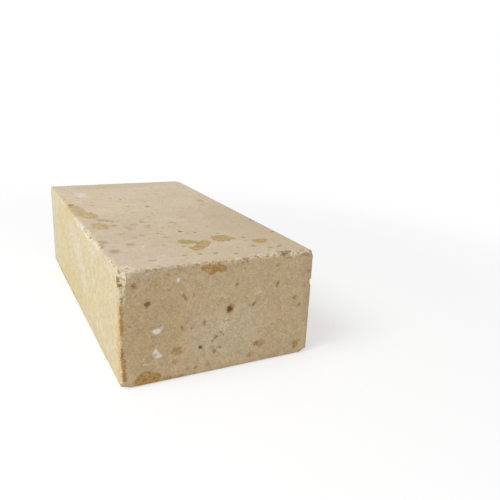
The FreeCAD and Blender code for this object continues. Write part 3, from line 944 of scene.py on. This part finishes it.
BODY_ROUGHNESS = 0.92
QUARTZ_GLOSS = 0.5  # how much less rough quartz is
SPECULAR = 0.3
FINE_BUMP, COARSE_BUMP = 0.05, 0.18  # heights in millimetres


def tinted(f, amount, colour, tint):
    return f.mix(amount, colour, tint, "MULTIPLY")


def body_grain(f, colour, place, strength):
    """Mottles a colour with grains of several sizes, each a little paler, darker, pinker or greener."""
    _, draw = f.cells(f.warped(place, size=2.0, amount=1.1), size=1.25)
    patch = f.noise(f.shifted(place, 31, 7, 12), size=3.2, detail=3.0, roughness=0.6)
    fine = f.noise(f.shifted(place, 2, 5, 8), size=0.75, detail=2.0, roughness=0.6)
    colour = tinted(f, f.times(f.ease(draw["Green"], 0.7, 0.9), GRAIN_TINTS), colour, PINKER)
    colour = tinted(f, f.times(f.ease(draw["Green"], 0.3, 0.1), GRAIN_TINTS), colour, GREENER)
    tone = f.swing(draw["Red"], CELL_TONE)
    tone = f.plus(tone, f.swing(patch, PATCH_TONE))
    tone = f.plus(tone, f.swing(fine, FINE_TONE))
    return tinted(f, 1.0, colour, f.plus(1.0, f.times(tone, strength)))


def speckled(f, colour, place, tint, cover, spacing, chance, radius, dimensions="3D"):
    """Scatters round grains over a colour. Spacing and radius are in millimetres, and chance is the share of
    the places that have one."""
    distance, draw = f.cells(place, spacing, dimensions)
    size = f.times(f.plus(draw["Green"], 0.5), radius)
    inside = f.minus(size, f.times(distance, spacing))
    present = f.math("LESS_THAN", draw["Red"], chance)
    grains = f.times(f.ease(inside, *SPECK_RIM), present)
    return f.mix(f.times(grains, cover), colour, tint)


def header_colour(f, place):
    """Tan, drifting to a greener and a pinker tan, with iron specks and pale grit."""
    drift = f.noise(place, size=7.0, detail=3.0, roughness=0.6)
    colour = tinted(f, f.times(f.ease(drift, 0.52, 0.62), HEADER_DRIFT), HEADER_TAN, GREENER)
    colour = tinted(f, f.times(f.ease(drift, 0.48, 0.38), HEADER_DRIFT), colour, PINKER)
    iron = f.shifted(place, 11, 2, 5)
    colour = speckled(f, colour, iron, IRON_SPECK, cover=0.4, spacing=4.6, chance=0.3, radius=0.45)
    grit = f.shifted(place, 7, 7, 5)
    return speckled(f, colour, grit, GRIT_PALE, cover=0.3, spacing=3.3, chance=0.3, radius=0.5)


def plain_sides(f, colour, place):
    """Scattered ochre and rusty spots on the plain stretcher and the far header. The near header's marks are
    listed one by one."""
    x, y, z = f.split(place)
    behind = f.math("GREATER_THAN", y, LOW.y + BEHIND)
    wall = f.node("ShaderNodeCombineXYZ", {"X": f.plus(x, y), "Y": z}).outputs[0]
    ochre = f.warped(f.shifted(wall, 9, 2, 0), size=3.4, amount=8.0)
    stains = {"spacing": 30.0, "chance": 0.4, "radius": 2.6, "dimensions": "2D"}
    colour = speckled(f, colour, ochre, OCHRE[0], f.times(behind, 0.8), **stains)
    rust = f.warped(f.shifted(wall, 4, 6, 0), size=1.6, amount=2.6)
    spots = {"spacing": 10.0, "chance": 0.5, "radius": 0.9, "dimensions": "2D"}
    return speckled(f, colour, rust, BROWN[0], f.times(behind, 0.75), **spots)


def bed_colour(f, place, on_bed):
    """Pinkish beige, darker at the near end and paler at the far end as painted light, with wide clouds,
    greener streaks that run across the brick and olive specks. The lower bed has red-brown specks too."""
    _, along, up = f.split(place)
    # Painted light: the bed darker at its near end and paler towards its far end.
    colour = tinted(f, f.ease(along, *BED_LIGHT_TURNS), BED_BEIGE, BED_LIT_PALER)
    colour = tinted(f, f.ease(along, *BED_FAR_LIGHT_TURNS), colour, FAR_PALER)
    colour = tinted(f, f.ease(f.noise(place, size=24.0), 0.45, 0.6), colour, PINKER)
    wide = f.noise(f.shifted(place, 30, 11, 4, stretch=(0.4, 1.0, 1.0)), size=13.0)
    colour = tinted(f, f.ease(wide, 0.5, 0.62), colour, DUSKY)
    colour = tinted(f, f.ease(wide, 0.46, 0.34), colour, LIGHTER)
    across = f.shifted(place, 3, 9, 1, stretch=(0.5, 1.0, 1.0))
    streak = f.noise(across, size=4.6, detail=3.0, roughness=0.6)
    colour = tinted(f, f.times(f.ease(streak, 0.5, 0.66), BED_STREAKS), colour, GREENER)
    specks = f.shifted(place, 5, 40, 2, stretch=(0.8, 0.7, 1))
    colour = speckled(f, colour, specks, OLIVE_SPECK, cover=0.75, spacing=4.4, chance=0.5, radius=0.75)
    small = f.shifted(place, 1, 20, 2, stretch=(0.8, 0.8, 1))
    colour = speckled(f, colour, small, OLIVE_SPECK, cover=0.6, spacing=2.6, chance=0.35, radius=0.4)
    under = f.times(on_bed, f.math("LESS_THAN", up, UNDERSIDE))
    red = f.warped(f.shifted(place, 15, 3, 2), size=1.5, amount=0.6)
    cover = f.times(under, 0.6)
    return speckled(f, colour, red, RED_SPECK, cover, spacing=3.6, chance=0.55, radius=0.75)


def skin_colour(f, place):
    """Pale yellow firing skin with paler and golden patches, olive specks and pale grains."""
    _, along, up = f.split(place)
    colour = tinted(f, f.ease(along, *SKIN_TURNS), SKIN_YELLOW, FAR_PALER)
    high = f.times(f.ease(along, *ARRIS_TURNS), f.ease(up, *ARRIS_RISES))
    colour = tinted(f, high, colour, ARRIS_PALER)
    cloudy = f.shifted(place, 3, 9, 1, stretch=(1.0, 1.4, 0.6))
    cloud = f.noise(cloudy, size=4.2, detail=4.0, roughness=0.7)
    colour = tinted(f, f.times(f.ease(cloud, 0.5, 0.64), SKIN_CLOUDS), colour, PALER)
    golden = f.shifted(place, 8, 1, 6, stretch=(1.0, 1.2, 0.7))
    gold = f.noise(golden, size=6.0, detail=4.0, roughness=0.7)
    colour = tinted(f, f.ease(gold, 0.5, 0.66), colour, GOLDEN)
    specks = f.shifted(place, 6, 5, 2)
    colour = speckled(f, colour, specks, OLIVE_SPECK, cover=0.25, spacing=3.8, chance=0.3, radius=0.5)
    grains = f.warped(f.shifted(place, 1, 4, 9), size=1.8, amount=3.0)
    return speckled(f, colour, grains, SKIN_PALE, cover=0.6, spacing=4.2, chance=0.5, radius=1.3)


def mark_cover(f, name, rim_noise):
    """How far inside a mark of one layer a point is, in rim widths, and the layer's tint."""
    inside, soft, ragged = f.split(f.attribute(name)["Vector"])
    inside = f.plus(inside, f.times(rim_noise, ragged))
    return f.math("DIVIDE", inside, soft), f.attribute(name + "_tint")


def lay_marks(f, colour, name, rim_noise, fine=None):
    """One layer of marks over a colour. With fine noise given, the body shows through thin places and the rim
    is a little browner."""
    inside, tint = mark_cover(f, name, rim_noise)
    cover, shade = tint["Alpha"], tint["Color"]
    if fine is not None:
        cover = f.minus(cover, f.times(f.ease(fine, 0.5, 0.7), THIN_PLACES), clamp=True)
        shade = tinted(f, f.ease(inside, *RIM_BROWNS), shade, RIM)
    return f.mix(f.times(f.ease(inside, *MARK_STARTS), cover), colour, shade)


def broken_body(f, colour, rim_noise, wear, on_bed):
    """The body where it is broken, at the arrises and in the chips: pale grains with dark gaps between, dark
    partly with the body's own brown and partly with painted shade in their hollows.
    """
    gap, draw, _ = f.split(f.attribute("grit")["Vector"])
    broken = f.ease(f.plus(wear, f.times(rim_noise, BROKEN_FRAY)), *BROKEN_RIM)
    show = f.times(broken, f.plus(PALE_GRAINS, f.times(on_bed, PALE_GRAINS_ON_BED)))
    colour = f.mix(f.times(f.ease(draw, 0.5, 0.1), show), colour, GRIT_PALE)
    # Partly painted shade: the gaps are darkened where the relief also sinks between grains.
    dark = f.times(f.times(gap, f.ease(draw, 0.35, 0.7)), f.times(broken, DARK_GAPS))
    return f.mix(dark, colour, GRIT_GAP_AND_SHADE)


def quartz_colour(f, colour, place, fine):
    """Quartz grains over a colour, cut to clear and milky facets, and how much of the surface they take."""
    inside, milkiness, _ = f.split(f.attribute("quartz")["Vector"])
    crystal = f.times(f.ease(f.plus(inside, f.swing(fine, QUARTZ_FRAY)), *QUARTZ_RIM), CRYSTAL)
    facet = f.noise(f.shifted(place, 4, 1, 1), size=1.3)
    milky = f.plus(milkiness, f.swing(facet, FACET_SWING), clamp=True)
    return f.mix(crystal, colour, f.mix(milky, QUARTZ_GREY, QUARTZ_MILK)), crystal


def small_relief(f, place):
    """Relief too small for the mesh."""
    pores = f.ease(f.noise(place, size=0.55), 0.3, 0.6)
    coarse = f.noise(place, size=1.4, detail=4.0, roughness=0.65)
    height = f.plus(f.times(pores, FINE_BUMP), f.times(coarse, COARSE_BUMP))
    inputs = {"Strength": 1.0, "Distance": MM, "Height": height}
    return f.node("ShaderNodeBump", inputs).outputs["Normal"]


def fired_body():
    """The finish of the whole brick."""
    f = Finish("fired_refractory_body")
    place = f.millimetres()
    bed, skin, wear = f.split(f.attribute("sides")["Vector"])
    fine = f.noise(place, size=1.0, detail=3.0, roughness=0.6)
    coarse = f.noise(f.shifted(place, 9, 4, 2), size=2.6, detail=3.0, roughness=0.65)
    rim_noise = f.plus(f.swing(coarse, RAGGED), f.swing(fine, RAGGED))

    on_bed = f.ease(f.plus(bed, f.times(rim_noise, SIDES_FRAY)), *BED_STARTS)
    on_skin = f.ease(f.plus(skin, f.times(rim_noise, SIDES_FRAY)), *SKIN_STARTS)
    header = plain_sides(f, header_colour(f, place), place)
    colour = f.mix(on_bed, header, bed_colour(f, place, on_bed))
    colour = f.mix(on_skin, colour, skin_colour(f, place))
    colour = lay_marks(f, colour, "cast", rim_noise)
    colour = lay_marks(f, colour, "stain", rim_noise, fine)
    colour = lay_marks(f, colour, "scar", rim_noise)
    colour = broken_body(f, colour, rim_noise, wear, on_bed)
    colour = lay_marks(f, colour, "spot", f.times(rim_noise, SPOT_FRAY))

    stained, _ = mark_cover(f, "stain", rim_noise)
    strength = f.minus(1.0, f.times(on_bed, CALM_BED))
    strength = f.plus(strength, f.times(f.ease(stained, *STAIN_ROUGHENS), ROUGH_STAIN))
    colour = body_grain(f, colour, place, strength)
    colour, crystal = quartz_colour(f, colour, place, fine)
    surface = f.node(
        "ShaderNodeBsdfPrincipled",
        {
            "Base Color": colour,
            "Roughness": f.minus(BODY_ROUGHNESS, f.times(crystal, QUARTZ_GLOSS)),
            "Specular IOR Level": SPECULAR,
            "Normal": small_relief(f, place),
        },
    )
    f.plug(f.output.inputs["Surface"], surface.outputs["BSDF"])
    return f.material


def make_stage():
    """A pale floor that whitens away from the brick and keeps its shadow."""
    bm = bmesh.new()
    bmesh.ops.create_circle(bm, cap_ends=True, segments=FLOOR_SEGMENTS, radius=FLOOR_RADIUS)
    mesh = bpy.data.meshes.new("floor")
    bm.to_mesh(mesh)
    bm.free()
    floor = bpy.data.objects.new("floor", mesh)
    bpy.context.scene.collection.objects.link(floor)
    f = Finish("white_floor")
    rays = f.node("ShaderNodeLightPath").outputs
    place = f.node("ShaderNodeTexCoord").outputs["Object"]
    away = f.node("ShaderNodeVectorMath", {0: place}, operation="LENGTH").outputs["Value"]
    matt = f.node("ShaderNodeBsdfDiffuse", {"Color": f.mix(rays["Is Camera Ray"], FLOOR_PAINT, WHITE)})
    white = f.node("ShaderNodeEmission", {"Color": (*WHITE, 1.0), "Strength": 1.0})
    lift = f.plus(f.times(f.ease(away, *FLOOR_WHITENS), 1.0 - FLOOR_LIFT), FLOOR_LIFT)
    seen = f.times(rays["Is Camera Ray"], lift)
    mixed = f.node("ShaderNodeMixShader", {0: seen, 1: matt.outputs[0], 2: white.outputs[0]})
    f.plug(f.output.inputs["Surface"], mixed.outputs[0])
    mesh.materials.append(f.material)


def make_light():
    """A large soft lamp from the upper left, and an even white room."""
    world = bpy.data.worlds.new("white_room")
    bpy.context.scene.world = world
    world.use_nodes = True
    tree = world.node_tree
    tree.nodes.clear()
    mixed = tree.nodes.new("ShaderNodeMixShader")
    rays = tree.nodes.new("ShaderNodeLightPath")
    tree.links.new(rays.outputs["Is Camera Ray"], mixed.inputs[0])
    # The room's light on the brick, and the white backdrop that the camera sees.
    for socket, strength in ((1, ROOM_STRENGTH), (2, 1.0)):
        background = tree.nodes.new("ShaderNodeBackground")
        background.inputs["Color"].default_value = (*WHITE, 1.0)
        background.inputs["Strength"].default_value = strength
        tree.links.new(background.outputs[0], mixed.inputs[socket])
    output = tree.nodes.new("ShaderNodeOutputWorld")
    tree.links.new(mixed.outputs[0], output.inputs["Surface"])

    lamp = bpy.data.lights.new("key_lamp", "AREA")
    lamp.shape = "DISK"
    lamp.size = LAMP_SIZE
    lamp.energy = LAMP_POWER
    key = bpy.data.objects.new("key_lamp", lamp)
    key.location = LAMP_PLACE
    key.rotation_euler = (LAMP_AIM - LAMP_PLACE).to_track_quat("-Z", "Y").to_euler()
    bpy.context.scene.collection.objects.link(key)


make_camera()
brick = make_brick()
brick.data.materials.append(fired_body())
make_stage()
make_light()
bpy.context.scene.view_settings.view_transform = "Standard"
